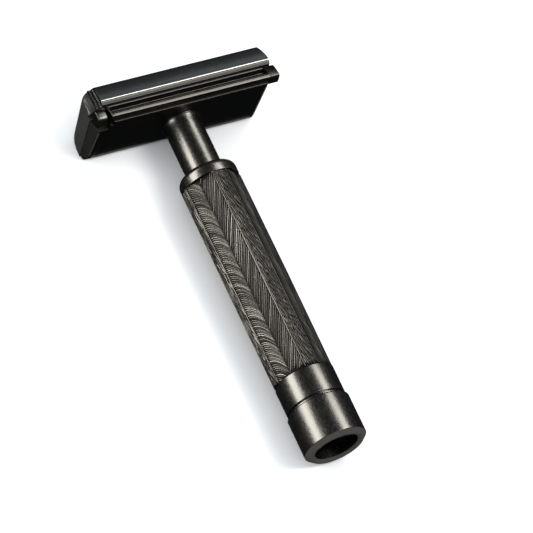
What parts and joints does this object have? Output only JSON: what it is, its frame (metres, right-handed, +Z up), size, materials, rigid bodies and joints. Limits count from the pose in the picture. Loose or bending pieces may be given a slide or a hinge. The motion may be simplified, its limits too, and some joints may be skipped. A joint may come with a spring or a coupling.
{
  "type": "safety razor",
  "caption": "Single-edge safety razor: knurled metal handle, narrow head with guard bar and clamping cap; turning the handle lifts the cap to free the blade.",
  "frame": {"origin": "on the surface that the razor lies on, under the middle of its bounding box", "axes": "+Y from the pommel to the head along the handle, +Z up through the guard and the blade's edge, +X along the blade towards the open end of the head"},
  "size_m": [0.0464, 0.0984, 0.0171],
  "materials": {
    "satin_steel": "dark gunmetal coating over satin-turned steel",
    "hatched_steel": "dark gunmetal coating over fine cut hatching",
    "cap_steel": "dark blue-grey coating, smooth satin",
    "dark_steel": "near-black coating, smooth satin",
    "plain_steel": "plain machined steel, hidden inside",
    "blade_steel": "ground stainless strip"
  },
  "bodies": {
    "handle": {"pommel": "satin_steel", "ferrule": "satin_steel", "grip": "hatched_steel", "collar": "satin_steel", "neck": "satin_steel", "core_rod": "plain_steel", "pommel_nut": "plain_steel", "lock_washer": "plain_steel"},
    "base": {"base_plate": "dark_steel", "guard_bar": "dark_steel", "guard_dowels": "plain_steel", "locating_pins": "plain_steel", "stop_spring": "plain_steel"},
    "stop": {"blade_stop": "dark_steel"},
    "cap": {"top_cap": "cap_steel", "end_cheek": "cap_steel", "cheek_dowels": "plain_steel", "grip_strip": "hatched_steel", "lift_bracket": "plain_steel", "bracket_screws": "plain_steel", "cap_stud": "plain_steel", "blade_spring": "plain_steel", "spring_rivets": "plain_steel"},
    "blade": {"blade": "blade_steel"}
  },
  "joints": [
    {"name": "head_turn", "type": "hinge", "parent": "handle", "child": "base", "pos_m": [0, 0.0388, 0.0075], "axis": [0, 1, 0], "range_deg": [0, 1350]},
    {"name": "cap_lift", "type": "slide", "parent": "base", "child": "cap", "axis": [0, 1, 0], "range_m": [0, 0.003]},
    {"name": "blade_slide", "type": "slide", "parent": "cap", "child": "blade", "axis": [1, 0, 0], "range_m": [0, 0.04]},
    {"name": "stop_press", "type": "slide", "parent": "base", "child": "stop", "axis": [0, 0, -1], "range_m": [0, 0.001], "stiffness_N_per_m": 400, "springref_m": -0.001, "deforming": ["stop_spring"]}
  ],
  "couplings": [
    {"joint": "cap_lift", "follows": "head_turn", "m_per_rad": 0.00012732}
  ]
}
